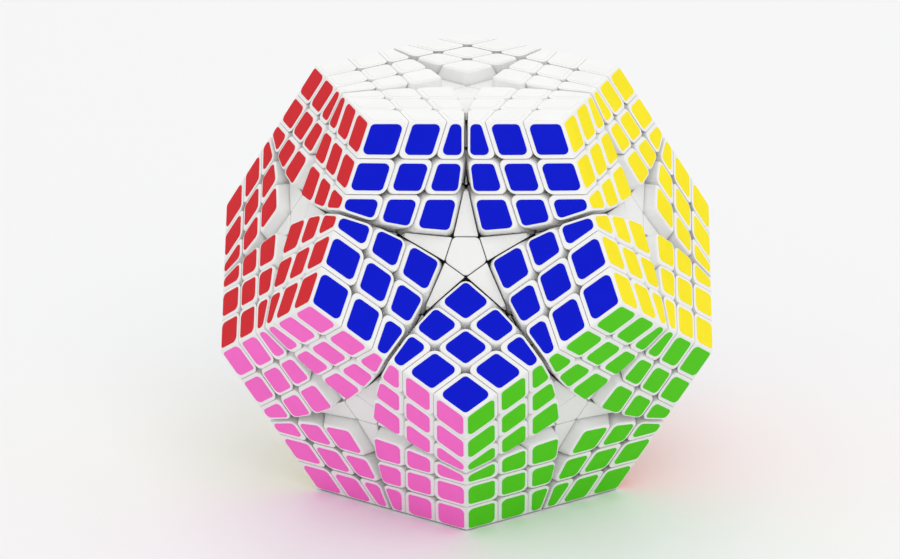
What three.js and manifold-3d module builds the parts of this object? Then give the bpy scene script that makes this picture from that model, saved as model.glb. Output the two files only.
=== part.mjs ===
// Six-layer dodecahedral twisty puzzle: 20 corner blocks turn about 12 face axes.
// Millimetres, +Z up. The puzzle rests on one face, with the origin at the middle of that face.
import * as THREE from "three";
import { mergeVertices } from "three/addons/utils/BufferGeometryUtils.js";
import Module from "manifold-3d";

const wasm = await Module();
wasm.setup();

// ---- Driving dimensions (mm and degrees) -------------------------------------------------

const EDGE = 56; // edge of the dodecahedron
const FIRST_CUT = 11.3; // depth of the first cut below a face's edge, down the next face's midline
const SECOND_CUT = 21.8; // the same for the second cut; the third passes through edge midpoints
const CUT_RISE = 0.9; // how far the first two cuts lean from flat, rising outwards
const GAP = 0.3; // running clearance between neighbouring pieces
const RECESS = 4.0; // how far the centres and the channels between blocks lie below a face
const BALL_DROP = 0.8; // from the second cut down to the ball that the layers slide on
const BALL_WALL = 3.0;
const BALL_CLEARANCE = 0.9; // between the ball and the layers, for their faceted surfaces
const WEB = 2.6; // least thickness of a layer at its inner rim
const CORE_RADIUS = 11;
const POST_RADIUS = 3.0; // the twelve posts of the core
const POST_RISE = 1.8; // how far a post stands out of the ball
const SCREW_RADIUS = 1.1; // shank of a screw
const SCREW_DEPTH = 13; // how far a screw goes into its post
const HEAD_RADIUS = 2.3;
const HEAD_HEIGHT = 1.8;
const HEAD_ROOM = 1.2; // from a screw's head to the top wall of its centre piece
const SPRING_WIRE = 0.55; // thickness of the spring's wire
const SPRING_TURNS = 3;
const CENTRE_WALL = 1.2; // top wall and floor of a centre piece
const CENTRE_BORE = 3.0; // radius of the well that holds the screw's head and spring
const CENTRE_ROOM = 0.9; // from a centre piece's corners to the hole in the second layer
const CHANNEL_GAP = 0.4; // from a block's wall to a centre piece or its arm
const CHANNEL_TIP = 0.5; // half width at which a channel ends
const ARM_TIP = 0.7; // half width of a channel arm's outer end

const PLASTIC = { color: 0xf2f2f0, roughness: 0.4, metalness: 0 };
const CORE_PLASTIC = { color: 0xd9d9d4, roughness: 0.55, metalness: 0 };
const STEEL = { color: 0xb8bbc0, roughness: 0.3, metalness: 1 };

const TURN_STEPS = 24; // flats round a surface of revolution that another piece turns on
const ROUND_STEPS = 8; // flats round small pins and bores
const CURVE_STEPS = 4; // straight stretches on one side of a channel
const SPRING_STEPS = 6; // straight stretches in one turn of a spring
const BALL_DETAIL = 3;

// ---- The dodecahedron ----------------------------------------------------------------------

const SQRT5 = Math.sqrt(5);
const GOLDEN = (1 + SQRT5) / 2;
const INRADIUS = (EDGE / 2) * Math.sqrt(2.5 + 11 / (2 * SQRT5)); // centre to a face
const CIRCUMRADIUS = (EDGE * Math.sqrt(3) * GOLDEN) / 2; // centre to a corner
const FACE_INRADIUS = EDGE / (2 * Math.tan(Math.PI / 5)); // middle of a face to its edge
const FACE_COS = 1 / SQRT5; // cosine of the angle between the axes of two neighbouring faces
const FACE_SIN = 2 / SQRT5;
const MID_SLOPE = GOLDEN - 1; // the third cut is a cone from the centre through edge midpoints
const MID_COS = Math.cos(Math.atan(1 / MID_SLOPE));
const PAST = 1; // how far a cutter runs past what it cuts
const REACH = INRADIUS + PAST; // past the widest radius that any layer has
const ORIGIN = new THREE.Vector2();

// One ring of five faces leans up, the next leans down, half a step round from it.
const RING_STEP = 72;
const TILT = THREE.MathUtils.radToDeg(Math.acos(FACE_COS));
const FACES = [
  ["white", 0, 0],
  ...["blue", "yellow", "purple", "dark_green", "red"].map((name, i) => [
    name,
    -90 + RING_STEP * i,
    TILT,
  ]),
  ...["green", "orange", "light_blue", "cream", "pink"].map((name, i) => [
    name,
    -90 + RING_STEP * (i + 0.5),
    180 - TILT,
  ]),
  ["grey", 0, 180],
].map(([name, azimuth, polar]) => {
  const normal = new THREE.Vector3().setFromSphericalCoords(
    1,
    THREE.MathUtils.degToRad(polar),
    THREE.MathUtils.degToRad(azimuth + 90),
  );
  // three.js spherical coordinates have Y up; turn them to Z up.
  normal.set(normal.x, -normal.z, normal.y);
  return { name, normal };
});

const adjacent = (a, b) => Math.abs(a.normal.dot(b.normal) - FACE_COS) < 1e-6;

for (const face of FACES) {
  face.neighbours = FACES.filter((other) => adjacent(face, other));
  // The face's own frame: Z along its axis, X towards its first neighbour.
  const x = face.neighbours[0].normal
    .clone()
    .projectOnPlane(face.normal)
    .normalize();
  const y = new THREE.Vector3().crossVectors(face.normal, x);
  face.frame = new THREE.Matrix4().makeBasis(x, y, face.normal);
}

// Which side of a face a neighbour lies on, in steps of 72 degrees round the face's axis.
function bearing(face, other) {
  const local = other.normal.clone().applyMatrix4(face.frame.clone().invert());
  const steps = THREE.MathUtils.radToDeg(Math.atan2(local.y, local.x)) / RING_STEP;
  return (Math.round(steps) + 5) % 5;
}

// Each corner of the puzzle is where three faces meet.
const CORNERS = [];
FACES.forEach((a, i) =>
  FACES.slice(i + 1).forEach((b, j) =>
    FACES.slice(i + j + 2).forEach((c) => {
      if (adjacent(a, b) && adjacent(b, c) && adjacent(a, c))
        CORNERS.push({
          faces: [a, b, c],
          name: [a, b, c].map((face) => face.name).join("_"),
          point: a.normal
            .clone()
            .add(b.normal)
            .add(c.normal)
            .setLength(CIRCUMRADIUS),
        });
    }),
  ),
);

// ---- Solids ----------------------------------------------------------------------------------

function solid(geometry) {
  const bare = geometry.clone();
  bare.deleteAttribute("normal");
  bare.deleteAttribute("uv");
  const merged = mergeVertices(bare, 1e-4);
  return new wasm.Manifold(
    new wasm.Mesh({
      numProp: 3,
      vertProperties: merged.attributes.position.array,
      triVerts: new Uint32Array(merged.index.array),
    }),
  );
}

function geometryOf(body) {
  const mesh = body.getMesh();
  const geometry = new THREE.BufferGeometry();
  geometry.setAttribute(
    "position",
    new THREE.BufferAttribute(mesh.vertProperties, 3),
  );
  geometry.setIndex(new THREE.BufferAttribute(mesh.triVerts, 1));
  geometry.computeVertexNormals();
  return geometry;
}

const unite = (bodies) => bodies.reduce((a, b) => a.add(b));
const common = (bodies) => bodies.reduce((a, b) => a.intersect(b));
const cut = (body, tools) => tools.reduce((a, b) => a.subtract(b), body);

// A solid of revolution about a face's axis, from [radius, height] points.
function turned(profile, steps = TURN_STEPS) {
  const points = profile.map(([r, z]) => new THREE.Vector2(r, z));
  if (profile[0][0] > 0) points.push(points[0].clone());
  return new THREE.LatheGeometry(points, steps).rotateX(Math.PI / 2);
}

// A straight prism of the given outline that shrinks towards the puzzle's centre. The outline
// is drawn on the plane of the face, and the prism lies between the heights low and high.
function taper(outline, low, high) {
  const ring = (z) => outline.map((p) => [(p.x * z) / INRADIUS, (p.y * z) / INRADIUS, z]);
  const caps = THREE.ShapeUtils.triangulateShape(outline, []);
  const n = outline.length;
  const index = [];
  for (const [a, b, c] of caps) index.push(c, b, a, n + a, n + b, n + c);
  for (let i = 0; i < n; i++) {
    const j = (i + 1) % n;
    index.push(i, j, n + j, i, n + j, n + i);
  }
  const geometry = new THREE.BufferGeometry();
  const points = [...ring(low), ...ring(high)].flat();
  geometry.setAttribute("position", new THREE.Float32BufferAttribute(points, 3));
  geometry.setIndex(index);
  return geometry;
}

// The dodecahedron itself: five corners round each face.
function dodecahedron() {
  const points = [];
  for (const face of FACES) {
    const inverse = face.frame.clone().invert();
    const ring = CORNERS.filter((corner) => corner.faces.includes(face))
      .map((corner) => corner.point)
      .sort((p, q) => {
        const [a, b] = [p, q].map((v) => v.clone().applyMatrix4(inverse));
        return Math.atan2(a.y, a.x) - Math.atan2(b.y, b.x);
      });
    for (let i = 1; i < ring.length - 1; i++)
      points.push(ring[0], ring[i], ring[i + 1]);
  }
  return new THREE.BufferGeometry().setFromPoints(points);
}

const placed = (geometry, face) => solid(geometry.clone().applyMatrix4(face.frame));

// ---- The cuts --------------------------------------------------------------------------------

// Each cut is a cone about the face's axis: height = apex + rise * radius.
const RISE = Math.tan(THREE.MathUtils.degToRad(CUT_RISE));
function cutAt(depth) {
  const radius = FACE_INRADIUS + FACE_COS * depth;
  const height = INRADIUS - FACE_SIN * depth;
  return { apex: height - RISE * radius, rise: RISE };
}
const CUTS = [cutAt(FIRST_CUT), cutAt(SECOND_CUT), { apex: 0, rise: MID_SLOPE }];
const BALL_RADIUS = CUTS[1].apex - BALL_DROP;
const POST_END = BALL_RADIUS + POST_RISE; // from the puzzle's centre
const heightOn = ({ apex, rise }, radius) => apex + rise * radius;
// Moves a cut along its own normal, so that the layers on its two sides stay clear.
const shifted = ({ apex, rise }, by) => ({ apex: apex + by * Math.hypot(1, rise), rise });

// Everything of one face's side of a cut.
function cap(cutShape) {
  return turned([
    [0, cutShape.apex],
    [REACH, heightOn(cutShape, REACH)],
    [REACH, REACH],
    [0, REACH],
  ]);
}

// A ring between two cuts, from the radius where it is WEB thick over the ball.
function ring(upper, lower) {
  const seat = BALL_RADIUS + BALL_CLEARANCE;
  const [slope, drop] = [upper.rise, upper.apex - WEB];
  const square = 1 + slope ** 2;
  const root = Math.sqrt(Math.max(0, (slope * drop) ** 2 - square * (drop ** 2 - seat ** 2)));
  const clear = (CENTRE_REACH * upper.apex) / INRADIUS + CENTRE_ROOM;
  const inner = Math.max((root - slope * drop) / square, clear);
  return turned([
    [inner, heightOn(lower, inner)],
    [REACH, heightOn(lower, REACH)],
    [REACH, heightOn(upper, REACH)],
    [inner, heightOn(upper, inner)],
  ]);
}

const above = CUTS.map((shape) => shifted(shape, GAP / 2));
const below = CUTS.map((shape) => shifted(shape, -GAP / 2));

// ---- Channels between the blocks, drawn on a face ---------------------------------------------

// How far from the middle of a face, towards a neighbour, that neighbour's third cut lies, at
// a distance aside from the line between the two.
function thirdCut(aside) {
  const a = FACE_SIN ** 2 - MID_COS ** 2;
  const b = 2 * FACE_SIN * FACE_COS * INRADIUS;
  const c = (FACE_COS * INRADIUS) ** 2 - MID_COS ** 2 * (INRADIUS ** 2 + aside ** 2);
  return (Math.sqrt(b * b - 4 * a * c) - b) / (2 * a);
}


// How far aside the third cuts of two neighbours cross, each set back by inset from the cut.
function crossing(inset) {
  let aside = 0;
  for (let i = 0; i < 30; i++) aside = (thirdCut(aside) - inset) * Math.tan(Math.PI / 5);
  return aside;
}
const CENTRE_REACH = crossing(0) / Math.sin(Math.PI / 5); // corner of a centre, from its axis

// A point on one wall of the channel that runs towards bearing 0: the third cut of the
// neighbour on that side (+1 or -1), at a distance aside from that neighbour's own line.
function wallPoint(side, aside, inset) {
  const axis = side * THREE.MathUtils.degToRad(RING_STEP);
  return new THREE.Vector2(thirdCut(aside) - inset, -side * aside).rotateAround(ORIGIN, axis);
}

// The distance aside at which a channel has narrowed to the given half width.
function narrowing(halfWidth, inset) {
  let [near, far] = [crossing(inset), FACE_INRADIUS];
  for (let i = 0; i < 40; i++) {
    const middle = (near + far) / 2;
    if (wallPoint(1, middle, inset).y > halfWidth) near = middle;
    else far = middle;
  }
  return near;
}

// The outline of a centre and the channels that run out from it towards the given bearings,
// counted in steps of 72 degrees.
function starOutline(arms, inset, tipWidth) {
  const from = crossing(inset);
  const to = narrowing(tipWidth, inset);
  const outline = [];
  for (let i = 0; i < 5; i++) {
    const spin = THREE.MathUtils.degToRad(RING_STEP * i);
    const steps = arms.includes(i) ? CURVE_STEPS : 0;
    const asides = Array.from({ length: steps + 1 }, (_, k) => from + ((to - from) * k) / CURVE_STEPS);
    const right = asides.map((aside) => wallPoint(-1, aside, inset));
    const left = asides.slice(1).map((aside) => wallPoint(1, aside, inset));
    for (const p of [...right, ...left.reverse()]) outline.push(p.rotateAround(ORIGIN, spin));
  }
  return outline;
}

// ---- Pieces ------------------------------------------------------------------------------------

const whole = solid(dodecahedron());
const seatBall = solid(new THREE.IcosahedronGeometry(BALL_RADIUS + BALL_CLEARANCE, BALL_DETAIL));
const EVERY_ARM = [0, 1, 2, 3, 4];
const channels = taper(starOutline(EVERY_ARM, 0, CHANNEL_TIP), INRADIUS - RECESS, REACH);
const CENTRE_FLOOR = POST_END + GAP; // underside of a centre piece
const CENTRE_TOP = INRADIUS - RECESS;

// The core: a ball with twelve posts, each bored for a screw.
function core() {
  const ball = solid(new THREE.IcosahedronGeometry(CORE_RADIUS, 1));
  const post = turned([[0, 0], [POST_RADIUS, 0], [POST_RADIUS, POST_END], [0, POST_END]], ROUND_STEPS);
  const bottom = POST_END - SCREW_DEPTH - GAP;
  const radius = SCREW_RADIUS + GAP;
  const bore = turned([[0, bottom], [radius, bottom], [radius, REACH], [0, REACH]], ROUND_STEPS);
  const posts = FACES.map((face) => placed(post, face));
  const bores = FACES.map((face) => placed(bore, face));
  return cut(unite([ball, ...posts]), bores);
}

// The hollow ball round the core, with a hole for each post.
function innerBall() {
  const outside = solid(new THREE.IcosahedronGeometry(BALL_RADIUS, BALL_DETAIL));
  const inside = solid(new THREE.IcosahedronGeometry(BALL_RADIUS - BALL_WALL, BALL_DETAIL));
  const radius = POST_RADIUS + GAP;
  const hole = turned([[0, CORE_RADIUS], [radius, CORE_RADIUS], [radius, REACH], [0, REACH]], ROUND_STEPS);
  return cut(outside, [inside, ...FACES.map((face) => placed(hole, face))]);
}

// A screw and the spring under its head, which presses the centre piece inwards.
function springScrew() {
  const bottom = POST_END - SCREW_DEPTH;
  const headTop = CENTRE_TOP - CENTRE_WALL - HEAD_ROOM;
  const headBottom = headTop - HEAD_HEIGHT;
  const springBottom = CENTRE_FLOOR + CENTRE_WALL + GAP + SPRING_WIRE / 2;
  const coil = (HEAD_RADIUS + SCREW_RADIUS + GAP) / 2;
  const screw = turned(
    [[0, bottom], [SCREW_RADIUS, bottom], [SCREW_RADIUS, headBottom],
      [HEAD_RADIUS, headBottom], [HEAD_RADIUS, headTop], [0, headTop]],
    ROUND_STEPS,
  );
  class Helix extends THREE.Curve {
    getPoint(t, target = new THREE.Vector3()) {
      const angle = t * SPRING_TURNS * 2 * Math.PI;
      const height = springBottom + t * (headBottom - springBottom);
      return target.set(coil * Math.cos(angle), coil * Math.sin(angle), height);
    }
  }
  const half = SPRING_WIRE / 2;
  const section = new THREE.Shape([
    new THREE.Vector2(half, 0), new THREE.Vector2(0, half),
    new THREE.Vector2(-half, 0), new THREE.Vector2(0, -half),
  ]);
  const spring = new THREE.ExtrudeGeometry(section, {
    extrudePath: new Helix(),
    steps: SPRING_TURNS * SPRING_STEPS,
    bevelEnabled: false,
  });
  return unite([solid(screw), solid(spring)]);
}

// A centre piece, hollow for the screw's head, with the channel arms that go with it.
function centre(arms) {
  const body = taper(starOutline(arms, CHANNEL_GAP, ARM_TIP), CENTRE_FLOOR, CENTRE_TOP);
  const floor = CENTRE_FLOOR + CENTRE_WALL;
  const hole = SCREW_RADIUS + GAP;
  const well = turned(
    [[0, CENTRE_FLOOR - PAST], [hole, CENTRE_FLOOR - PAST], [hole, floor], [CENTRE_BORE, floor],
      [CENTRE_BORE, CENTRE_TOP - CENTRE_WALL], [0, CENTRE_TOP - CENTRE_WALL]],
    ROUND_STEPS,
  );
  return cut(solid(body), [solid(well)]);
}

// The space inside the given cut of each of several faces.
const inside = (faces, shape) => common(faces.map((face) => placed(cap(shape), face)));

// A corner piece: what lies inside the first cuts of its three faces.
const cornerPiece = (faces) => common([whole, inside(faces, above[0])]);

// One of the three layers of a face, without its corner pieces and its centre piece.
function layer(face, number) {
  const shape = number === 0 ? cap(above[0]) : ring(below[number - 1], above[number]);
  const tops = [...face.neighbours, ...(number === 0 ? [face] : [])];
  const tools = [seatBall, ...tops.map((other) => placed(channels, other))];
  if (number === 0) {
    const seat = taper(starOutline([], 0, CHANNEL_TIP), BALL_RADIUS, INRADIUS);
    tools.push(placed(seat, face));
    for (const corner of CORNERS.filter(({ faces }) => faces.includes(face))) {
      const others = corner.faces.filter((other) => other !== face);
      tools.push(inside(others, below[0]));
    }
  }
  return cut(common([whole, placed(shape, face)]), tools);
}

// A corner block that stays on the core's side, without its corner piece.
const block = (faces) => cut(common([whole, inside(faces, above[2])]), [seatBall, inside(faces, below[0])]);

// ---- Assembly ----------------------------------------------------------------------------------

const puzzle = new THREE.Group();
puzzle.position.z = INRADIUS;

function add(parent, name, geometry, finish) {
  const mesh = new THREE.Mesh(geometry, new THREE.MeshStandardMaterial(finish));
  mesh.name = name;
  parent.add(mesh);
}

// The three faces whose layers turn in this model: no two of them share a corner.
const TURNING = FACES.filter(({ name }) => ["white", "green", "cream"].includes(name));
const LAYER_NAMES = ["top_layer", "second_layer", "third_layer"];

add(puzzle, "core", geometryOf(core()), CORE_PLASTIC);
add(puzzle, "inner_ball", geometryOf(innerBall()), CORE_PLASTIC);

const screwGeometry = geometryOf(springScrew());
for (const face of FACES) {
  const group = new THREE.Group();
  group.applyMatrix4(face.frame);
  puzzle.add(group);
  add(group, "spring_screw_" + face.name, screwGeometry, STEEL);
  const arms = TURNING.includes(face)
    ? []
    : face.neighbours.filter((other) => !TURNING.includes(other)).map((other) => bearing(face, other));
  add(group, "centre_" + face.name, geometryOf(centre(arms)), PLASTIC);
}

for (const { faces, name } of CORNERS)
  add(puzzle, "corner_" + name, geometryOf(cornerPiece(faces)), PLASTIC);

for (const face of TURNING)
  LAYER_NAMES.forEach((layerName, number) =>
    add(puzzle, face.name + "_" + layerName, geometryOf(layer(face, number)), PLASTIC),
  );

for (const { faces, name } of CORNERS)
  if (!faces.some((face) => TURNING.includes(face)))
    add(puzzle, "block_" + name, geometryOf(block(faces)), PLASTIC);

const object = new THREE.Group();
object.name = "dodecahedron_puzzle";
object.add(puzzle);

export default object;
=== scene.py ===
"""Looks of a six-layer dodecahedral twisty puzzle: white moulded pieces with flat vinyl stickers."""

import itertools
import logging
import math
from dataclasses import dataclass, field
from enum import Enum
from typing import Callable, ClassVar, Iterable, Sequence, Union

import bmesh
import bpy
from mathutils import Matrix, Vector


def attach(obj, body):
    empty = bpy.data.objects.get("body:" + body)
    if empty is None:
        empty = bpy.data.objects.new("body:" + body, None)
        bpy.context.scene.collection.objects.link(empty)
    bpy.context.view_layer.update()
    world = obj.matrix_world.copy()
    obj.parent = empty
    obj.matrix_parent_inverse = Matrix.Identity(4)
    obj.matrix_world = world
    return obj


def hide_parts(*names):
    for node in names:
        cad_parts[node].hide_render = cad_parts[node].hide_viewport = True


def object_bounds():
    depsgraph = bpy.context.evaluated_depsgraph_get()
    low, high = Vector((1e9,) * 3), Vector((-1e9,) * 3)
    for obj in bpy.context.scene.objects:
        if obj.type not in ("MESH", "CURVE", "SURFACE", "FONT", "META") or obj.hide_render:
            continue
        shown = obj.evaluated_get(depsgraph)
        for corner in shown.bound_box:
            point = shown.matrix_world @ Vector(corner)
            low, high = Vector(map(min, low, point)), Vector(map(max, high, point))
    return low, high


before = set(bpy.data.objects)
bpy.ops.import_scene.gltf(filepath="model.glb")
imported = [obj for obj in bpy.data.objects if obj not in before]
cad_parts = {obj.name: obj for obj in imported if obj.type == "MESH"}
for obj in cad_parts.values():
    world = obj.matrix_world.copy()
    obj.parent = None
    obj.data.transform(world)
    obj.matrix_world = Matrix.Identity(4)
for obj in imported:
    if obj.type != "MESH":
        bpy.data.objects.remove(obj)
CAD_BOX = [list(corner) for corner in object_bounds()]
LOG = logging.getLogger("puzzle")

MM = 0.001
GOLDEN = (1 + math.sqrt(5)) / 2
FACE_COS = 1 / math.sqrt(5)  # cosine of the angle between the axes of two neighbouring faces
FACE_SIN = 2 / math.sqrt(5)
FIFTH = 2 * math.pi / 5
THIRD_RISE = GOLDEN - 1  # rise of the third cut, the cone through the edge midpoints
UNIT_INRADIUS = math.sqrt(2.5 + 1.1 * math.sqrt(5)) / 2  # of a dodecahedron whose edge is 1
ROUNDS = 40  # of a search that closes in on a length
EPSILON = 1e-6


# ---- The dodecahedron ------------------------------------------------------------------------


class Ring(Enum):
    """The four levels at which faces lie; the value is the sine of how far the face leans up."""

    TOP = 1.0
    UPPER = FACE_COS
    LOWER = -FACE_COS
    BOTTOM = -1.0


class Face(Enum):
    """The twelve faces by the colour of their stickers: the ring, and the place in the ring."""

    WHITE = (Ring.TOP, 0.0)
    BLUE = (Ring.UPPER, 0.0)
    YELLOW = (Ring.UPPER, 1.0)
    PURPLE = (Ring.UPPER, 2.0)
    DARK_GREEN = (Ring.UPPER, 3.0)
    RED = (Ring.UPPER, 4.0)
    GREEN = (Ring.LOWER, 0.5)
    ORANGE = (Ring.LOWER, 1.5)
    LIGHT_BLUE = (Ring.LOWER, 2.5)
    CREAM = (Ring.LOWER, 3.5)
    PINK = (Ring.LOWER, 4.5)
    GREY = (Ring.BOTTOM, 0.0)

    @property
    def label(self) -> str:
        """The face's name as nodes and slots spell it.

        Returns:
            The name.
        """
        return self.name.lower()

    @property
    def axis(self) -> Vector:
        """The unit vector out of the face.

        Returns:
            The vector.
        """
        ring, place = self.value
        around = place * FIFTH - math.pi / 2
        flat = math.sqrt(max(0.0, 1 - ring.value**2))
        return Vector((flat * math.cos(around), flat * math.sin(around), ring.value))

    def touches(self, other: "Face") -> bool:
        """True if the two faces share an edge.

        Args:
            other: the other face.

        Returns:
            Whether they do.
        """
        return abs(self.axis.dot(other.axis) - FACE_COS) < EPSILON * 100

    @property
    def neighbours(self) -> list["Face"]:
        """The five faces round this one.

        Returns:
            The faces.
        """
        return [other for other in Face if self.touches(other)]


@dataclass(frozen=True)
class Corner:
    """A corner of the dodecahedron: its three faces, in turning order seen from outside."""

    faces: tuple[Face, Face, Face]

    @property
    def label(self) -> str:
        """The corner's name, from the names of its faces in the order of Face.

        Returns:
            The name.
        """
        return "_".join(face.label for face in Face if face in self.faces)

    @property
    def basis(self) -> Matrix:
        """The axes of the three faces as the columns of a matrix.

        Returns:
            The matrix.
        """
        return Matrix([face.axis for face in self.faces]).transposed()

    @classmethod
    def every(cls) -> list["Corner"]:
        """All twenty corners.

        Returns:
            The corners.
        """
        found = []
        for a, b, c in itertools.combinations(Face, 3):
            if a.touches(b) and b.touches(c) and a.touches(c):
                turning = a.axis.cross(b.axis).dot(c.axis) > 0
                found.append(cls((a, b, c) if turning else (a, c, b)))
        return found


class Level(Enum):
    """The three layers of one face, from the outside in."""

    TOP = 1
    SECOND = 2
    THIRD = 3


@dataclass(frozen=True)
class Cut:
    """A cut between two layers: a cone about the face's axis, height = apex + rise * radius."""

    apex: float
    rise: float

    def shifted(self, by: float) -> "Cut":
        """The cut moved along its own normal.

        Args:
            by: how far outwards, in metres.

        Returns:
            The moved cut.
        """
        return Cut(self.apex + by * math.hypot(1, self.rise), self.rise)


class Side(Enum):
    """What a side of a piece faces."""

    OUTSIDE = "outside"
    CUT = "cut"
    CHANNEL = "channel"
    INSIDE = "inside"


@dataclass(frozen=True)
class HalfSpace:
    """The points on one side of a plane: normal . point <= limit. face is set on outer faces."""

    normal: Vector
    limit: float
    side: Side = Side.CUT
    face: int = -1

    @classmethod
    def beside(cls, cut: Cut, axis: Vector, towards: Vector, spread: float, side: int) -> "HalfSpace":
        """The plane through a stretch of a cut.

        Args:
            cut: the cone.
            axis: unit vector of the cone's axis.
            towards: unit vector, square to the axis, to the middle of the stretch.
            spread: half the angle of the stretch round the axis.
            side: +1 to keep what lies inside the cone, -1 for what lies outside.

        Returns:
            The half space.
        """
        normal = towards * (cut.rise / math.cos(spread)) - axis
        length = normal.length
        kind = Side.CHANNEL if cut.rise >= THIRD_RISE else Side.CUT
        return cls(normal * (side / length), -cut.apex * side / length, kind)


@dataclass
class Geometry:
    """The puzzle's driving sizes, in metres, and the cuts that follow from them."""

    inradius: float
    first_depth: float = 11.3 * MM  # from the edge to the first cut, along the next face's midline
    second_depth: float = 21.8 * MM
    cut_lean: float = math.radians(0.9)  # how steeply the first two cuts rise outwards
    gap: float = 0.22 * MM  # between two pieces
    recess: float = 4.0 * MM  # from a face down to its centre piece
    sticker_height: float = 0.15 * MM

    @property
    def edge(self) -> float:
        """The edge of the dodecahedron.

        Returns:
            Its length.
        """
        return self.inradius / UNIT_INRADIUS

    @property
    def face_inradius(self) -> float:
        """From the middle of a face to its edges.

        Returns:
            The distance.
        """
        return self.edge / (2 * math.tan(FIFTH / 2))

    @property
    def surface(self) -> float:
        """How far the moulded outer faces are from the middle, under the stickers.

        Returns:
            The distance.
        """
        return self.inradius - self.sticker_height

    @property
    def centre(self) -> Vector:
        """The middle of the puzzle, which stands on the ground.

        Returns:
            The point.
        """
        return Vector((0, 0, self.inradius))

    def cut_at(self, depth: float) -> Cut:
        """A cut that crosses the next face's midline at a depth below the edge.

        Args:
            depth: distance from the edge along the face.

        Returns:
            The cut.
        """
        rise = math.tan(self.cut_lean)
        radius = self.face_inradius + FACE_COS * depth
        return Cut(self.inradius - FACE_SIN * depth - rise * radius, rise)

    @property
    def cuts(self) -> dict[int, Cut]:
        """The three cuts by number; the third runs from the centre through edge midpoints.

        Returns:
            The cuts.
        """
        return {1: self.cut_at(self.first_depth), 2: self.cut_at(self.second_depth), 3: Cut(0.0, THIRD_RISE)}

    def third_cut_at(self, aside: float) -> float:
        """Where a neighbour's third cut crosses a face.

        Args:
            aside: distance from the line between the middles of the two faces.

        Returns:
            The distance from the middle of the face towards the neighbour.
        """
        cos_squared = THIRD_RISE**2 / (1 + THIRD_RISE**2)
        a = FACE_SIN**2 - cos_squared
        b = 2 * FACE_SIN * FACE_COS * self.inradius
        c = (FACE_COS * self.inradius) ** 2 - cos_squared * (self.inradius**2 + aside**2)
        return (math.sqrt(b * b - 4 * a * c) - b) / (2 * a)


# ---- Meshes ------------------------------------------------------------------------------------


def bounded(spaces: Sequence[HalfSpace]) -> dict[int, list[Vector]]:
    """The faces of the convex solid that lies in every half space.

    Args:
        spaces: the half spaces.

    Returns:
        For each half space that bounds the solid, by its place in spaces, its polygon, counter-clockwise
        seen from outside.
    """
    points: dict[int, list[Vector]] = {}
    for trio in itertools.combinations(range(len(spaces)), 3):
        a, b, c = (spaces[i] for i in trio)
        volume = a.normal.dot(b.normal.cross(c.normal))
        if abs(volume) < EPSILON:
            continue
        point = (
            b.normal.cross(c.normal) * a.limit
            + c.normal.cross(a.normal) * b.limit
            + a.normal.cross(b.normal) * c.limit
        ) / volume
        if all(s.normal.dot(point) <= s.limit + EPSILON for s in spaces):
            for i in trio:
                near = points.setdefault(i, [])
                if all((point - other).length > 10 * EPSILON for other in near):
                    near.append(point)
    outlines = {}
    for i, ring in points.items():
        if len(ring) < 3:
            continue
        middle = sum(ring, Vector()) / len(ring)
        right = (ring[0] - middle).normalized()
        up = spaces[i].normal.cross(right)
        outlines[i] = sorted(ring, key=lambda p: math.atan2((p - middle).dot(up), (p - middle).dot(right)))
    return outlines


def inset(outline: Sequence[Vector], normal: Vector, by: Sequence[float]) -> list[Vector]:
    """A convex outline with each side moved inwards by its own distance.

    Args:
        outline: the corners, counter-clockwise about normal.
        normal: unit normal of the outline's plane.
        by: for each corner, how far the side that leaves it moves.

    Returns:
        The corners of the smaller outline.
    """
    count = len(outline)
    corners = []
    for i in range(count):
        before, here, after = outline[i - 1], outline[i], outline[(i + 1) % count]
        a, b = by[i - 1], by[i]
        into_a = normal.cross((here - before).normalized())
        into_b = normal.cross((after - here).normalized())
        both = into_a.dot(into_b)
        span = 1 - both * both
        corners.append(here + into_a * ((a - both * b) / span) + into_b * ((b - both * a) / span))
    return corners


LONGEST_ARC = 0.48  # the most that a rounding takes of a side, as a share


def rounded(outline: Sequence[Vector], radius: float, steps: int) -> list[Vector]:
    """A convex outline with its corners rounded.

    Args:
        outline: the corners in order.
        radius: of the arcs, less where a side is short.
        steps: straight stretches in each arc.

    Returns:
        The points of the rounded outline.
    """
    count = len(outline)
    points = []
    for i in range(count):
        here = outline[i]
        back, ahead = outline[i - 1] - here, outline[(i + 1) % count] - here
        half = back.angle(ahead) / 2
        reach = min(radius / math.tan(half), LONGEST_ARC * back.length, LONGEST_ARC * ahead.length)
        start, end = here + back.normalized() * reach, here + ahead.normalized() * reach
        bulge = reach * math.tan(half)
        middle = here + (back.normalized() + ahead.normalized()).normalized() * (bulge / math.sin(half))
        first, last = start - middle, end - middle
        for k in range(steps + 1):
            points.append(middle + first.slerp(last, k / steps).normalized() * first.length)
    return points


def plate(
    mesh: bmesh.types.BMesh, outline: Sequence[Vector], out: Vector, bottom: float, top: float, soften: float
) -> None:
    """Adds a flat closed plate with a softened upper edge.

    Args:
        mesh: what it is added to.
        outline: its upper outline, at height 0, counter-clockwise about out.
        out: unit normal of the plate.
        bottom: height of its underside.
        top: height of its upper side.
        soften: how far the upper edge is taken back.
    """
    small = inset(outline, out, [soften] * len(outline))
    rings = [
        [mesh.verts.new(p + out * height) for p in points]
        for points, height in ((outline, bottom), (outline, top - soften), (small, top))
    ]
    mesh.faces.new(list(reversed(rings[0])))
    mesh.faces.new(rings[2])
    for lower, upper in zip(rings, rings[1:]):
        for i in range(len(lower)):
            j = (i + 1) % len(lower)
            mesh.faces.new((lower[i], lower[j], upper[j], upper[i]))


FaceKinds = dict[bmesh.types.BMFace, int]  # the outer face that each mesh face lies in, or -1
EdgeTest = Callable[[bmesh.types.BMEdge, FaceKinds], bool]


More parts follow.
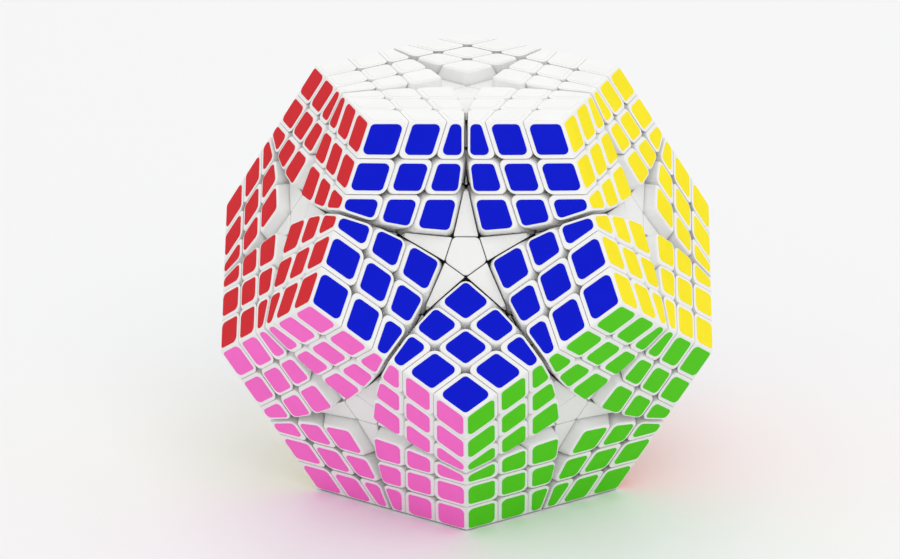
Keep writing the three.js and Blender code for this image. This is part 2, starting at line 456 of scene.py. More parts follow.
@dataclass
class Moulding:
    """How the moulded pieces are rounded, in metres."""

    corner: float = 2.2 * MM  # radius of the outline's corners
    rim: float = 0.6 * MM  # between an outer face and a side
    ridge: float = 0.6 * MM  # between two outer faces
    corner_steps: int = 4
    rim_steps: int = 3
    rim_angle: float = 0.6  # flatter edges than this stay as they are

    def solid(self, spaces: Sequence[HalfSpace]) -> bmesh.types.BMesh:
        """A convex solid with its edges rounded as a moulded piece's are.

        Args:
            spaces: the half spaces that bound it; those with a face number are outer faces.

        Returns:
            The mesh.
        """
        mesh = bmesh.new()
        made: dict[tuple[int, int, int], bmesh.types.BMVert] = {}
        for outline in bounded(spaces).values():
            ring = [self.vertex(mesh, made, p) for p in outline]
            if len(set(ring)) == len(ring):
                mesh.faces.new(ring)
        outer = [s for s in spaces if s.face >= 0]
        self.round_edges(mesh, outer, self.corner, self.corner_steps, self.is_corner)
        self.round_edges(mesh, outer, self.ridge, self.rim_steps, self.is_ridge)
        self.round_edges(mesh, outer, self.rim, self.rim_steps, self.is_rim)
        return mesh

    @staticmethod
    def vertex(
        mesh: bmesh.types.BMesh, made: dict[tuple[int, int, int], bmesh.types.BMVert], point: Vector
    ) -> bmesh.types.BMVert:
        """The vertex at a point, which is made where there is none yet.

        Args:
            mesh: the piece.
            made: the vertices so far by the cell of a fine grid that they lie in.
            point: the point.

        Returns:
            The vertex.
        """
        cell = 5 * EPSILON
        key = tuple(round(c / cell) for c in point)
        for shift in itertools.product((0, -1, 1), repeat=3):
            found = made.get(tuple(k + s for k, s in zip(key, shift)))
            if found and (found.co - point).length < cell:
                return found
        made[key] = mesh.verts.new(point)
        return made[key]

    @staticmethod
    def outer_of(face: bmesh.types.BMFace, outer: Sequence[HalfSpace]) -> int:
        """Which outer face of the piece a mesh face lies in, or -1.

        Args:
            face: the mesh face.
            outer: the planes of the piece's outer faces.

        Returns:
            The number of the outer face.
        """
        middle = face.calc_center_median()
        for space in outer:
            level = abs(space.normal.dot(middle) - space.limit) < EPSILON
            if level and face.normal.dot(space.normal) > 1 - 100 * EPSILON:
                return space.face
        return -1

    def round_edges(
        self, mesh: bmesh.types.BMesh, outer: Sequence[HalfSpace], radius: float, steps: int, wanted: EdgeTest
    ) -> None:
        """Bevels the edges that a test picks out.

        Args:
            mesh: the piece.
            outer: the planes of its outer faces.
            radius: of the rounding.
            steps: segments of each rounding.
            wanted: the test, given an edge and the outer face number of each face.
        """
        mesh.normal_update()
        kinds = {face: self.outer_of(face, outer) for face in mesh.faces}
        edges = [e for e in mesh.edges if len(e.link_faces) == 2 and wanted(e, kinds)]
        if edges:
            bmesh.ops.bevel(
                mesh, geom=edges, offset=radius, offset_type="OFFSET", segments=steps,
                profile=0.5, affect="EDGES", clamp_overlap=True,
            )

    @staticmethod
    def is_corner(edge: bmesh.types.BMEdge, kinds: FaceKinds) -> bool:
        """True for an edge between two cut sides that ends on an outer face.

        Args:
            edge: the edge.
            kinds: the outer face of each mesh face.

        Returns:
            Whether it is one.
        """
        if any(kinds[face] >= 0 for face in edge.link_faces):
            return False
        return any(kinds[face] >= 0 for vert in edge.verts for face in vert.link_faces)

    @staticmethod
    def is_ridge(edge: bmesh.types.BMEdge, kinds: FaceKinds) -> bool:
        """True for an edge between two outer faces.

        Args:
            edge: the edge.
            kinds: the outer face of each mesh face.

        Returns:
            Whether it is one.
        """
        return all(kinds[face] >= 0 for face in edge.link_faces)

    def is_rim(self, edge: bmesh.types.BMEdge, kinds: FaceKinds) -> bool:
        """True for an edge between an outer face and a side, where they meet at an angle.

        Args:
            edge: the edge.
            kinds: the outer face of each mesh face.

        Returns:
            Whether it is one.
        """
        one = sum(kinds[face] >= 0 for face in edge.link_faces) == 1
        return one and edge.calc_face_angle(0) > self.rim_angle


@dataclass
class Solid:
    """Closed bodies as points and faces."""

    points: list[Vector]
    faces: list[list[int]]

    @classmethod
    def of(cls, mesh: bmesh.types.BMesh) -> "Solid":
        """Takes the shape of a mesh, which is freed.

        Args:
            mesh: what to take.

        Returns:
            The same shape.
        """
        mesh.verts.index_update()
        found = cls([v.co.copy() for v in mesh.verts], [[v.index for v in f.verts] for f in mesh.faces])
        mesh.free()
        return found

    @classmethod
    def joined(cls, solids: Iterable["Solid"]) -> "Solid":
        """Several solids as one.

        Args:
            solids: what to put together.

        Returns:
            One solid with all of them in it.
        """
        whole = cls([], [])
        for solid in solids:
            first = len(whole.points)
            whole.points += solid.points
            whole.faces += [[i + first for i in face] for face in solid.faces]
        return whole

    def moved(self, matrix: Matrix) -> "Solid":
        """The solid after a rotation and a move.

        Args:
            matrix: 4x4, applied to each point.

        Returns:
            The moved solid.
        """
        return Solid([matrix @ p for p in self.points], self.faces)

    def shown(self, name: str, material: bpy.types.Material) -> bpy.types.Object:
        """Adds the solid to the scene, smooth over its roundings and flat on its flat faces.

        Args:
            name: of the object and its mesh.
            material: its finish.

        Returns:
            The new object.
        """
        mesh = bpy.data.meshes.new(name)
        mesh.from_pydata(self.points, [], self.faces)
        mesh.polygons.foreach_set("use_smooth", [True] * len(mesh.polygons))
        mesh.normals_split_custom_set(self.normals(mesh))
        mesh.materials.append(material)
        thing = bpy.data.objects.new(name, mesh)
        bpy.context.scene.collection.objects.link(thing)
        return thing

    @staticmethod
    def normals(mesh: bpy.types.Mesh, crease: float = math.radians(40)) -> list[Vector]:
        """A normal for each corner of each face, in which larger faces weigh more.

        Args:
            mesh: the mesh.
            crease: faces at a greater angle than this meet in a sharp edge.

        Returns:
            The normals in the order of the mesh's loops.
        """
        around: list[list[bpy.types.MeshPolygon]] = [[] for _ in mesh.vertices]
        for polygon in mesh.polygons:
            for i in polygon.vertices:
                around[i].append(polygon)
        least = math.cos(crease)
        found = []
        for polygon in mesh.polygons:
            for i in polygon.vertices:
                near = (p for p in around[i] if p.normal.dot(polygon.normal) > least)
                found.append(sum((p.normal * p.area for p in near), Vector()).normalized())
        return found


# ---- Finishes ----------------------------------------------------------------------------------

Colour = tuple[float, float, float]
Number = Union["Signal", float]


@dataclass(frozen=True)
class Signal:
    """A number carried by a socket; arithmetic with it adds nodes."""

    paint: "Paint"
    socket: bpy.types.NodeSocket

    def maths(self, operation: str, *operands: Number) -> "Signal":
        """One Math node.

        Args:
            operation: what it does.
            operands: its inputs in order.

        Returns:
            Its result.
        """
        return self.paint.node("ShaderNodeMath", {"operation": operation}, *operands)

    def __add__(self, other: Number) -> "Signal":
        """The sum.

        Args:
            other: what is added.

        Returns:
            The result.
        """
        return self.maths("ADD", self, other)

    def __radd__(self, other: Number) -> "Signal":
        """The sum, from the right.

        Args:
            other: what it is added to.

        Returns:
            The result.
        """
        return self.maths("ADD", other, self)

    def __sub__(self, other: Number) -> "Signal":
        """The difference.

        Args:
            other: what is taken away.

        Returns:
            The result.
        """
        return self.maths("SUBTRACT", self, other)

    def __rsub__(self, other: Number) -> "Signal":
        """The difference, from the right.

        Args:
            other: what it is taken from.

        Returns:
            The result.
        """
        return self.maths("SUBTRACT", other, self)

    def __mul__(self, other: Number) -> "Signal":
        """The product.

        Args:
            other: the factor.

        Returns:
            The result.
        """
        return self.maths("MULTIPLY", self, other)

    def __rmul__(self, other: Number) -> "Signal":
        """The product, from the right.

        Args:
            other: the factor before it.

        Returns:
            The result.
        """
        return self.maths("MULTIPLY", other, self)

    def __truediv__(self, other: Number) -> "Signal":
        """The quotient.

        Args:
            other: the divisor.

        Returns:
            The result.
        """
        return self.maths("DIVIDE", self, other)

    def __rtruediv__(self, other: Number) -> "Signal":
        """The quotient, from the right.

        Args:
            other: what is divided.

        Returns:
            The result.
        """
        return self.maths("DIVIDE", other, self)


class Paint:
    """The nodes of one material."""

    def __init__(self, name: str) -> None:
        """Starts an empty material.

        Args:
            name: of the material.
        """
        self.material = bpy.data.materials.new(name)
        self.material.use_nodes = True
        self.tree = self.material.node_tree
        self.tree.nodes.clear()

    def add(self, kind: str, settings: dict[str, object], *values: object, **named: object) -> bpy.types.Node:
        """Adds a node.

        Args:
            kind: its type.
            settings: its properties, set before its sockets.
            values: values or signals for its sockets in order.
            named: the same by socket name, with _ for a space.

        Returns:
            The node.
        """
        node = self.tree.nodes.new(kind)
        for key, value in settings.items():
            setattr(node, key, value)
        sockets = [socket for socket in node.inputs if socket.enabled]
        chosen = list(zip(sockets, values))
        for key, value in named.items():
            chosen.append((next(s for s in sockets if s.name == key.replace("_", " ")), value))
        for socket, value in chosen:
            if isinstance(value, Signal):
                self.tree.links.new(value.socket, socket)
            else:
                socket.default_value = value
        return node

    def node(self, kind: str, settings: dict[str, object], *values: object, **named: object) -> Signal:
        """Adds a node and reads its first output in use.

        Args:
            kind: its type.
            settings: its properties, set before its sockets.
            values: values or signals for its sockets in order.
            named: the same by socket name, with _ for a space.

        Returns:
            The output.
        """
        node = self.add(kind, settings, *values, **named)
        return Signal(self, next(socket for socket in node.outputs if socket.enabled))

    def place(self) -> Signal:
        """The point on the piece, in metres, which moves with the piece.

        Returns:
            The point.
        """
        return Signal(self, self.add("ShaderNodeTexCoord", {}).outputs["Object"])

    def noise(self, size: float, detail: float = 2.0) -> Signal:
        """Soft noise from 0 to 1.

        Args:
            size: of its patches, in metres.
            detail: how many finer octaves it has.

        Returns:
            The noise.
        """
        return self.node("ShaderNodeTexNoise", {}, Vector=self.place(), Scale=1 / size, Detail=detail)

    def blend(self, first: Colour, second: Colour, factor: Number) -> Signal:
        """A colour between two others.

        Args:
            first: the colour at factor 0.
            second: the colour at factor 1.
            factor: which share of the second.

        Returns:
            The colour.
        """
        return self.node(
            "ShaderNodeMix", {"data_type": "RGBA"}, Factor=factor, A=(*first, 1.0), B=(*second, 1.0)
        )

    def bump(self, height: Signal, distance: float, strength: float) -> Signal:
        """Fine relief.

        Args:
            height: from 0 to 1.
            distance: how high 1 is, in metres.
            strength: how much of it shows.

        Returns:
            The normal.
        """
        return self.node("ShaderNodeBump", {}, Strength=strength, Distance=distance, Height=height)

    def surface(self, **named: object) -> bpy.types.Material:
        """Ends the material with its shader.

        Args:
            named: sockets of the shader by name, with _ for a space.

        Returns:
            The material.
        """
        shader = self.node("ShaderNodeBsdfPrincipled", {}, **named)
        self.add("ShaderNodeOutputMaterial", {"target": "ALL"}, Surface=shader)
        return self.material


@dataclass(frozen=True)
class Finish:
    """A finish: a colour that drifts towards another, and a sheen that drifts a little too."""

    name: str
    colour: Colour
    drift: Colour
    roughness: float
    patch: float = 14 * MM  # size of the patches in which the colour drifts
    roughness_drift: float = 0.08
    grain: float = 0.25 * MM  # size of the moulded grain
    relief: float = 0.004 * MM  # its height
    relief_strength: float = 0.5
    metallic: float = 0.0
    specular: float = 0.5

    def material(self) -> bpy.types.Material:
        """The finish as a material.

        Returns:
            The material.
        """
        paint = Paint(self.name)
        broad = paint.noise(self.patch)
        fine = paint.noise(self.grain, detail=1.0)
        return paint.surface(
            Base_Color=paint.blend(self.colour, self.drift, broad),
            Roughness=self.roughness + (broad - 0.5) * self.roughness_drift,
            Metallic=self.metallic,
            Specular_IOR_Level=self.specular,
            Normal=paint.bump(fine, self.relief, self.relief_strength),
        )


@dataclass(frozen=True)
class Vinyl(Finish):
    """Smooth printed vinyl, a little darker towards the finger-worn patches."""

    roughness: float = 0.5
    specular: float = 0.08
    relief: float = 0.002 * MM
    wear: ClassVar[float] = 0.9  # how bright the worn patches are against the rest

    @classmethod
    def of(cls, face: Face, colour: Colour) -> "Vinyl":
        """The stickers of a face.

        Args:
            face: the face.
            colour: their colour.

        Returns:
            The finish.
        """
        return cls(f"sticker_{face.label}", colour, tuple(cls.wear * c for c in colour))


def srgb(red: int, green: int, blue: int) -> Colour:
    """A screen colour, 0 to 255 each, as linear light.

    Args:
        red: its red share.
        green: its green share.
        blue: its blue share.

    Returns:
        The colour.
    """
    shares = (red / 255, green / 255, blue / 255)
    return tuple(c / 12.92 if c <= 0.04045 else ((c + 0.055) / 1.055) ** 2.4 for c in shares)


STICKERS = {
    Face.WHITE: srgb(246, 246, 244),
    Face.BLUE: srgb(0, 20, 205),
    Face.YELLOW: srgb(255, 236, 10),
    Face.PURPLE: srgb(104, 32, 150),
    Face.DARK_GREEN: srgb(0, 92, 46),
    Face.RED: srgb(214, 16, 30),
    Face.GREEN: srgb(84, 208, 20),
    Face.ORANGE: srgb(255, 112, 10),
    Face.LIGHT_BLUE: srgb(88, 190, 240),
    Face.CREAM: srgb(250, 240, 176),
    Face.PINK: srgb(255, 113, 208),
    Face.GREY: srgb(138, 140, 144),
}


@dataclass
class Finishes:
    """Every material of the puzzle and its stage."""

    body: bpy.types.Material = field(init=False)
    core: bpy.types.Material = field(init=False)
    steel: bpy.types.Material = field(init=False)
    floor: bpy.types.Material = field(init=False)
    stickers: dict[Face, bpy.types.Material] = field(init=False)

    def __post_init__(self) -> None:
        """Makes the materials."""
        self.body = Finish("body_plastic", (0.87, 0.87, 0.86), (0.84, 0.84, 0.825), 0.36).material()
        self.core = Finish("core_plastic", (0.30, 0.30, 0.31), (0.26, 0.26, 0.27), 0.5).material()
        self.steel = Finish(
            "steel", (0.62, 0.62, 0.60), (0.5, 0.5, 0.49), 0.3, patch=2 * MM, metallic=1.0
        ).material()
        self.floor = Finish(
            "floor", (0.885, 0.885, 0.89), (0.88, 0.88, 0.885), 0.9, patch=0.5, relief=0.0, specular=0.1
        ).material()
        self.stickers = {face: Vinyl.of(face, colour).material() for face, colour in STICKERS.items()}


# ---- The puzzle --------------------------------------------------------------------------------

TURNING = (Face.WHITE, Face.GREEN, Face.CREAM)


@dataclass(frozen=True)
class Place:
    """Which body a piece rides on and which node of the frame it stands for."""

    body: str
    node: str

    @classmethod
    def of(cls, corner: Corner, levels: Sequence[int]) -> "Place":
        """Where a piece of a corner block belongs.

        Args:
            corner: the block.
            levels: the piece's layer number for each face of the block.

        Returns:
            The body and node.
        """
        turning = [(face, level) for face, level in zip(corner.faces, levels) if face in TURNING]
        body, node = "core", f"block_{corner.label}"
        if turning:
            face, level = turning[0]
            body = f"{face.label}_{Level(level).name.lower()}"
            node = f"{body}_layer"
        if max(levels) == 1:
            node = f"corner_{corner.label}"
        return cls(body, node)


@dataclass
class Cell:
    """One piece of a corner block, about the middle of the puzzle: its moulding and its stickers."""

    geometry: Geometry
    moulding: Moulding
    corner: Corner
    levels: tuple[int, int, int]
    fittings: int = 5  # rounds of fitting the flat sides to the curved cuts
    ball: float = 44.0 * MM  # radius at which the inner pieces end
    sticker_inset: float = 1.15 * MM
    ridge_inset: float = 0.8 * MM
    channel_inset: float = 0.65 * MM
    sticker_corner: float = 1.4 * MM
    corner_steps: int = 4
    sticker_sink: float = 0.02 * MM  # how far a sticker's underside is in the plastic
    sticker_soften: float = 0.05 * MM

    @property
    def insets(self) -> dict[Side, float]:
        """How far the stickers stay from each kind of side.

        Returns:
            The distances.
        """
        return {
            Side.OUTSIDE: self.ridge_inset, Side.CUT: self.sticker_inset,
            Side.CHANNEL: self.channel_inset, Side.INSIDE: self.sticker_inset,
        }

    def sides(self, towards: Sequence[Vector], spread: Sequence[float]) -> list[tuple[int, HalfSpace]]:
        """The sides that the cuts of the block's faces leave.

        Args:
            towards: for each face, the direction of the middle of the stretch that bounds the piece.
            spread: for each face, half the angle of that stretch.

        Returns:
            For each side, the place of the face in the block and the half space.
        """
        found = []
        for n, (face, level) in enumerate(zip(self.corner.faces, self.levels)):
            for number, side in ((level, 1), (level - 1, -1)):
                if number:
                    cut = self.geometry.cuts[number].shifted(side * self.geometry.gap / 2)
                    found.append((n, HalfSpace.beside(cut, face.axis, towards[n], spread[n], side)))
        return found

    def spaces(self) -> list[HalfSpace]:
        """The half spaces that bound the piece.

        Returns:
            The half spaces: outer faces first.
        """
        axes = [face.axis for face in self.corner.faces]
        block = sum(axes, Vector()).normalized()
        towards = [(block - axis * axis.dot(block)).normalized() for axis in axes]
        spread = [0.0, 0.0, 0.0]
        outer = [
            (-1, HalfSpace(axis, self.geometry.surface, Side.OUTSIDE, n))
            for n, (axis, level) in enumerate(zip(axes, self.levels))
            if level == 1
        ]
        inner = [] if outer else [(-1, HalfSpace(-block, -self.ball, Side.INSIDE))]
        found: list[tuple[int, HalfSpace]] = []
        for _ in range(self.fittings):
            found = outer + self.sides(towards, spread) + inner
            shapes = bounded([space for _, space in found])
            skin = [p for i, ring in shapes.items() if not outer or found[i][0] < 0 for p in ring]
            for n, axis in enumerate(axes):
                left = axis.cross(towards[n])
                turns = [
                    math.atan2(p.dot(left), p.dot(towards[n]))
                    for i, ring in shapes.items()
                    for p in ring
                    if found[i][0] == n and any((p - q).length < 10 * EPSILON for q in skin)
                ]
                if turns:
                    spread[n] = (max(turns) - min(turns)) / 2
                    towards[n] = Matrix.Rotation((min(turns) + max(turns)) / 2, 3, axis) @ towards[n]
        return [space for _, space in found]

    def body(self) -> Solid:
        """The moulded piece.

        Returns:
            Its solid.
        """
        return Solid.of(self.moulding.solid(self.spaces()))

    def stickers(self) -> dict[int, Solid]:
        """The piece's stickers by the place of their face in the block.

        Returns:
            The stickers.
        """
        spaces = self.spaces()
        found = {}
        for i, outline in bounded(spaces).items():
            space = spaces[i]
            if space.face < 0:
                continue
            insets = []
            for j, here in enumerate(outline):
                middle = (here + outline[(j + 1) % len(outline)]) / 2
                beside = min(
                    (s for s in spaces if s is not space), key=lambda s: abs(s.normal.dot(middle) - s.limit)
                )
                insets.append(self.insets[beside.side])
            small = rounded(inset(outline, space.normal, insets), self.sticker_corner, self.corner_steps)
            height = self.geometry.sticker_height
            mesh = bmesh.new()
            plate(mesh, small, space.normal, -self.sticker_sink, height, self.sticker_soften)
            found[space.face] = Solid.of(mesh)
        return found


@dataclass
class CornerBlock:
    """One corner of the puzzle with its edge and face pieces."""

    corner: Corner
    cells: dict[tuple[int, int, int], tuple[Solid, dict[int, Solid]]]
    home: Corner
    lift: Vector
    finishes: Finishes

    def turn(self) -> Matrix:
        """From the block that the cells were made for to this one, stood on the ground.

        Returns:
            The matrix.
        """
        turn = self.corner.basis @ self.home.basis.inverted()
        return Matrix.Translation(self.lift) @ turn.to_4x4()

    def piece_name(self, levels: Sequence[int]) -> str:
        """A piece's name: its kind, then each face of the block with its layer number.

        Args:
            levels: the piece's layer number for each face of the block.

        Returns:
            The name.
        """
        kind = {3: "corner", 2: "edge", 1: "face"}[list(levels).count(1)]
        where = "_".join(f"{face.label}{level}" for face, level in zip(self.corner.faces, levels))
        return f"{kind}_{where}"

    def build(self) -> tuple[list[bpy.types.Object], dict[tuple[Face, Place], list[Solid]]]:
        """Makes the block's pieces.

        Returns:
            The pieces, and the stickers by their face and place.
        """
        turn = self.turn()
        pieces: list[bpy.types.Object] = []
        stickers: dict[tuple[Face, Place], list[Solid]] = {}
        inner: dict[Place, list[Solid]] = {}
        for levels, (body, plates) in self.cells.items():
            place = Place.of(self.corner, levels)
            if not plates:
                inner.setdefault(place, []).append(body.moved(turn))
                continue
            thing = body.moved(turn).shown(self.piece_name(levels), self.finishes.body)
            pieces.append(self.dress(thing, place))
            for n, sticker in plates.items():
                stickers.setdefault((self.corner.faces[n], place), []).append(sticker.moved(turn))
        for place, solids in inner.items():
            name = f"feet_{self.corner.label}_{place.body}"
            pieces.append(self.dress(Solid.joined(solids).shown(name, self.finishes.body), place))
        return pieces, stickers

    @staticmethod
    def dress(thing: bpy.types.Object, place: Place) -> bpy.types.Object:
        """Parents a piece to its body and hides the frame's part that it stands for.

        Args:
            thing: the piece.
            place: where it belongs.

        Returns:
            The piece.
        """
        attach(thing, place.body)
        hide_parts(place.node)
        return thing


@dataclass
class StickerSheets:
    """The stickers, joined for each face and each body that they move with."""

    finishes: Finishes
    groups: dict[tuple[Face, str], list[Solid]] = field(default_factory=dict)
    nodes: dict[tuple[Face, str], set[str]] = field(default_factory=dict)

    def add(self, stickers: dict[tuple[Face, Place], list[Solid]]) -> None:
        """Takes in the stickers of a block.

        Args:
            stickers: by their face and place.
        """
        for (face, place), solids in stickers.items():
            self.groups.setdefault((face, place.body), []).extend(solids)
            self.nodes.setdefault((face, place.body), set()).add(place.node)

    def build(self) -> list[bpy.types.Object]:
        """Makes the sticker objects.

        Returns:
            The sheets.
        """
        made = []
        for (face, body), solids in self.groups.items():
            thing = Solid.joined(solids).shown(f"stickers_{face.label}_{body}", self.finishes.stickers[face])
            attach(thing, body)
            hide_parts(*sorted(self.nodes[face, body]))
            made.append((thing, f"sticker_{face.label}")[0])
        return made


@dataclass
class Centre:
    """The sunk five-sided centre of a face and the channel pieces round it."""

    face: Face
    geometry: Geometry
    moulding: Moulding
    finishes: Finishes
    clearance: float = 0.12 * MM  # beside the third cuts
    seam: float = 0.05 * MM  # beside the first two cuts
    thickness: float = 2.0 * MM  # of the middle piece and of the third layer's pieces
    far_thickness: float = 1.2 * MM  # of the second layer's pieces
    step: float = 5.2 * MM  # how much lower the second layer's pieces lie

    @property
    def crossing(self) -> float:
        """How far aside of a neighbour's midline two third cuts cross.

        Returns:
            The distance.
        """
        aside = 0.0
        for _ in range(ROUNDS):
            aside = self.geometry.third_cut_at(aside) * math.tan(FIFTH / 2)
        return aside

    def spot(self, toward: Vector, along: float, aside: float) -> Vector:
        """A point of the face's plane.

        Args:
            toward: unit vector in the plane, towards a neighbour.
            along: distance from the middle that way.
            aside: distance to the left of it.

        Returns:
            The point, about the middle of the puzzle.
        """
        left = self.face.axis.cross(toward)
        return self.face.axis * self.geometry.inradius + toward * along + left * aside

    def slab(self, top: float, thickness: float) -> list[HalfSpace]:
        """The upper and under side of a piece.

        Args:
            top: height of its upper side.
            thickness: from there to its under side.

        Returns:
            Their half spaces.
        """
        axis = self.face.axis
        return [
            HalfSpace(axis, top, Side.OUTSIDE, 0), HalfSpace(-axis, thickness - top, Side.INSIDE)
        ]

    def through(self, start: Vector, end: Vector) -> HalfSpace:
        """The wall through the middle of the puzzle and two points, with the piece on its left.

        Args:
            start: one point of the wall.
            end: the next point, counter-clockwise round the piece.

        Returns:
            The half space.
        """
        return HalfSpace((end - start).cross(start).normalized(), -self.clearance, Side.CHANNEL)

    def wall(self, toward: Vector, side: int, aside: float) -> Vector:
        """A point of a channel's wall, which is the third cut of the next neighbour round.

        Args:
            toward: unit vector along the channel.
            side: +1 for its left wall, -1 for its right.
            aside: distance of the point from that neighbour's midline.

        Returns:
            The point on the face's plane.
        """
        turned = Matrix.Rotation(side * FIFTH, 3, self.face.axis) @ toward
        return self.spot(turned, self.geometry.third_cut_at(aside), -side * aside)

    def wall_at(self, toward: Vector, side: int, along: float) -> Vector:
        """The point of a channel's wall at a distance along the channel.

        Args:
            toward: unit vector along the channel.
            side: +1 for its left wall, -1 for its right.
            along: the distance.

        Returns:
            The point on the face's plane.
        """
        low, high = 0.0, self.geometry.face_inradius
        for _ in range(ROUNDS):
            middle = (low + high) / 2
            if self.wall(toward, side, middle).dot(toward) < along:
                low = middle
            else:
                high = middle
        return self.wall(toward, side, high)

    def touching(self, toward: Vector, side: int, along: float) -> HalfSpace:
        """The plane that touches a channel's wall at a distance along the channel, on the channel's side.

        Args:
            toward: unit vector along the channel.
            side: +1 for its left wall, -1 for its right.
            along: the distance.

        Returns:
            The half space.
        """
        turned = Matrix.Rotation(side * FIFTH, 3, self.face.axis) @ toward
        axis = turned * FACE_SIN + self.face.axis * FACE_COS
        point = self.wall_at(toward, side, along)
        across = (point - axis * point.dot(axis)).normalized()
        return HalfSpace.beside(self.geometry.cuts[3].shifted(-self.clearance), axis, across, 0.0, -1)

    def arm(self, other: Face) -> dict[int, Solid]:
        """The pieces of the channel towards a neighbour by its layer numbers.

        Args:
            other: the neighbour.

        Returns:
            The pieces of the third and second layers.
        """
        shape, axis = self.geometry, self.face.axis
        toward = (other.axis - axis * FACE_COS).normalized()
        across = (axis - other.axis * FACE_COS).normalized()
        hub = self.crossing / math.tan(FIFTH / 2)
        ends = {
            3: hub,
            2: shape.face_inradius - shape.second_depth,
            1: shape.face_inradius - shape.first_depth,
        }
        found = {}
        for row, thickness in ((3, self.thickness), (2, self.far_thickness)):
            top = shape.inradius - shape.recess - (3 - row) * self.step
            middle = (ends[row] + ends[row - 1]) / 2
            outer = shape.cuts[row - 1].shifted(-self.seam)
            spaces = self.slab(top, thickness) + [
                self.touching(toward, -1, middle), self.touching(toward, 1, middle),
                HalfSpace.beside(outer, other.axis, across, 0.0, -1),
            ]
            if row == 3:
                spaces.append(self.through(self.wall_at(toward, 1, hub), self.wall_at(toward, -1, hub)))
            else:
                inner = shape.cuts[row].shifted(self.seam)
                spaces.append(HalfSpace.beside(inner, other.axis, across, 0.0, 1))
            found[row] = Solid.of(self.moulding.solid(spaces))
        return found

    def hub(self) -> Solid:
        """The five-sided middle piece.

        Returns:
            Its solid.
        """
        axis = self.face.axis
        reach = self.crossing / math.sin(FIFTH / 2)
        first = (self.face.neighbours[0].axis - axis * FACE_COS).normalized()
        ring = [
            self.spot(Matrix.Rotation((k + 0.5) * FIFTH, 3, axis) @ first, reach, 0.0) for k in range(5)
        ]
        walls = [self.through(here, after) for here, after in zip(ring, ring[1:] + ring[:1])]
        top = self.geometry.inradius - self.geometry.recess
        return Solid.of(self.moulding.solid(self.slab(top, self.thickness) + walls))

    def build(self) -> list[bpy.types.Object]:
        """Makes the centre, with the channel pieces that move with it, and the other channel pieces.

        Returns:
            The pieces.
        """
        own_body = f"{self.face.label}_top" if self.face in TURNING else "core"
        groups: dict[str, list[Solid]] = {own_body: []}
        for other in self.face.neighbours:
            for row, solid in self.arm(other).items():
                body = own_body
                if self.face not in TURNING and other in TURNING:
                    body = f"{other.label}_{Level(row).name.lower()}"
                groups.setdefault(body, []).append(solid)
        groups[own_body].append(self.hub())
        made = []
        for body, solids in groups.items():
            whole = Solid.joined(solids).moved(Matrix.Translation(self.geometry.centre))
            name = f"centre_{self.face.label}" if body == own_body else f"channel_{self.face.label}_{body}"
            thing = whole.shown(name, self.finishes.body)
            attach(thing, body)
            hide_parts(f"centre_{self.face.label}")
            made.append(thing)
        return made


@dataclass
class Inside:
    """The core, the ball and the sprung screws, which keep the frame's own shapes."""

    finishes: Finishes

    def dress(self) -> int:
        """Gives them their finishes.

        Returns:
            How many there are.
        """
        count = 0
        for name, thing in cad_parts.items():
            if name in ("core", "inner_ball"):
                material = self.finishes.core
            elif name.startswith("spring_screw"):
                material = self.finishes.steel
            else:
                continue
            thing.data.materials.clear()
            thing.data.materials.append(material)
            count += 1
        return count


@dataclass
class Puzzle:
    """The whole puzzle."""

    geometry: Geometry
    finishes: Finishes
    moulding: Moulding = field(default_factory=Moulding)
    centre_moulding: Moulding = field(default_factory=lambda: Moulding(corner=1.1 * MM, rim=0.5 * MM))

    def cells(self, home: Corner) -> dict[tuple[int, int, int], tuple[Solid, dict[int, Solid]]]:
        """The 27 pieces of a block, 8 of them inside.

        Args:
            home: the block they are made for.

        Returns:
            The body and stickers of each piece by its layer numbers.
        """
        found = {}
        for levels in itertools.product((1, 2, 3), repeat=3):
            cell = Cell(self.geometry, self.moulding, home, levels)
            found[levels] = (cell.body(), cell.stickers())
        return found

    def build(self) -> list[bpy.types.Object]:
        """Makes every piece and reports each kind.

        Returns:
            The pieces.
        """
        corners = Corner.every()
        home = corners[0]
        cells = self.cells(home)
        sheets = StickerSheets(self.finishes)
        made: list[bpy.types.Object] = []
        for corner in corners:
            pieces, stickers = CornerBlock(corner, cells, home, self.geometry.centre, self.finishes).build()
            sheets.add(stickers)
            made += pieces
            LOG.info("block %s: %d pieces", corner.label, len(pieces))
        stuck = sheets.build()
        LOG.info("stickers: %d sheets", len(stuck))
        for face in Face:
            parts = Centre(face, self.geometry, self.centre_moulding, self.finishes).build()
            LOG.info("centre %s: %d pieces", face.label, len(parts))
            made += parts
        LOG.info("inside: %d pieces", Inside(self.finishes).dress())
        return made + stuck


# ---- Stage, light and camera -------------------------------------------------------------------


@dataclass(frozen=True)
class Lamp:
    """A square soft lamp; size is its side in metres."""

    name: str
    place: tuple[float, float, float]
    size: float
    watts: float


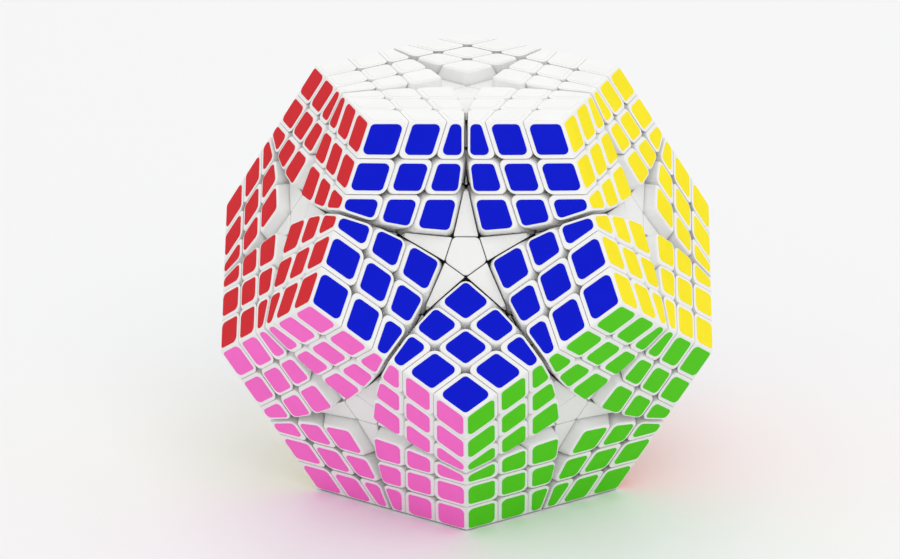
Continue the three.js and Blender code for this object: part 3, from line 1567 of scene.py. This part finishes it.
@dataclass
class Studio:
    """A pale floor, a soft sky and two soft lamps."""

    finishes: Finishes
    floor_size: float = 8.0
    floor_drop: float = 0.2 * MM
    aim: tuple[float, float, float] = (0.0, 0.0, 0.06)
    sky: float = 0.89
    lamps: tuple[Lamp, ...] = (
        Lamp("key", (0.3, -0.9, 1.2), 0.9, 3.7),
        Lamp("back", (0.0, 1.3, 1.3), 1.4, 3.6),
    )

    def floor(self) -> None:
        """A plain floor just under the puzzle."""
        mesh = bmesh.new()
        half = self.floor_size / 2
        square = ((-half, -half), (half, -half), (half, half), (-half, half))
        mesh.faces.new([mesh.verts.new((x, y, -self.floor_drop)) for x, y in square])
        data = bpy.data.meshes.new("floor")
        mesh.to_mesh(data)
        mesh.free()
        data.materials.append(self.finishes.floor)
        thing = bpy.data.objects.new("floor", data)
        bpy.context.scene.collection.objects.link(thing)

    def hang(self, lamp: Lamp) -> None:
        """Adds a lamp that faces the puzzle.

        Args:
            lamp: the lamp.
        """
        light = bpy.data.lights.new(lamp.name, "AREA")
        light.size = lamp.size
        light.energy = lamp.watts
        thing = bpy.data.objects.new(lamp.name, light)
        thing.location = lamp.place
        away = Vector(lamp.place) - Vector(self.aim)
        thing.rotation_euler = away.to_track_quat("Z", "Y").to_euler()
        bpy.context.scene.collection.objects.link(thing)

    def build(self) -> None:
        """Lights the scene."""
        scene = bpy.context.scene
        world = bpy.data.worlds.new("sky")
        world.use_nodes = True
        background = world.node_tree.nodes["Background"]
        background.inputs["Color"].default_value = (1.0, 1.0, 1.0, 1.0)
        background.inputs["Strength"].default_value = self.sky
        scene.world = world
        scene.view_settings.view_transform = "Standard"
        self.floor()
        for lamp in self.lamps:
            self.hang(lamp)


@dataclass
class Camera:
    """A long lens, a little above the puzzle."""

    geometry: Geometry
    azimuth: float = math.radians(0.6)
    elevation: float = math.radians(20.0)
    roll: float = math.radians(-0.17)
    distance: float = 31.5  # in edges of the puzzle, as right and up are
    lens: float = 235.6
    sensor: float = 36.0
    reach: float = 20.0  # the farthest that it sees, in metres
    right: float = -0.092  # how far the aim is off the middle of the puzzle
    up: float = -0.009

    def build(self) -> bpy.types.Object:
        """Adds the camera and makes it the scene's.

        Returns:
            The camera.
        """
        edge = self.geometry.edge
        out = Vector((
            math.sin(self.azimuth) * math.cos(self.elevation),
            -math.cos(self.azimuth) * math.cos(self.elevation),
            math.sin(self.elevation),
        ))
        data = bpy.data.cameras.new("camera")
        data.lens = self.lens
        data.sensor_width = self.sensor
        data.clip_end = self.reach
        thing = bpy.data.objects.new("camera", data)
        turn = out.to_track_quat("Z", "Y").to_matrix() @ Matrix.Rotation(self.roll, 3, "Z")
        aim = self.geometry.centre + turn @ Vector((self.right * edge, self.up * edge, 0))
        thing.matrix_world = Matrix.Translation(aim + out * self.distance * edge) @ turn.to_4x4()
        bpy.context.scene.collection.objects.link(thing)
        bpy.context.scene.camera = thing
        return thing


def main() -> None:
    """Builds the puzzle and its studio."""
    logging.basicConfig(level=logging.INFO, format="%(message)s")
    low, high = CAD_BOX
    geometry = Geometry(inradius=(high[2] - low[2]) / 2)
    finishes = Finishes()
    pieces = Puzzle(geometry, finishes).build()
    LOG.info("%d pieces in all", len(pieces))
    Studio(finishes).build()
    Camera(geometry).build()


if __name__ == "__main__":
    main()
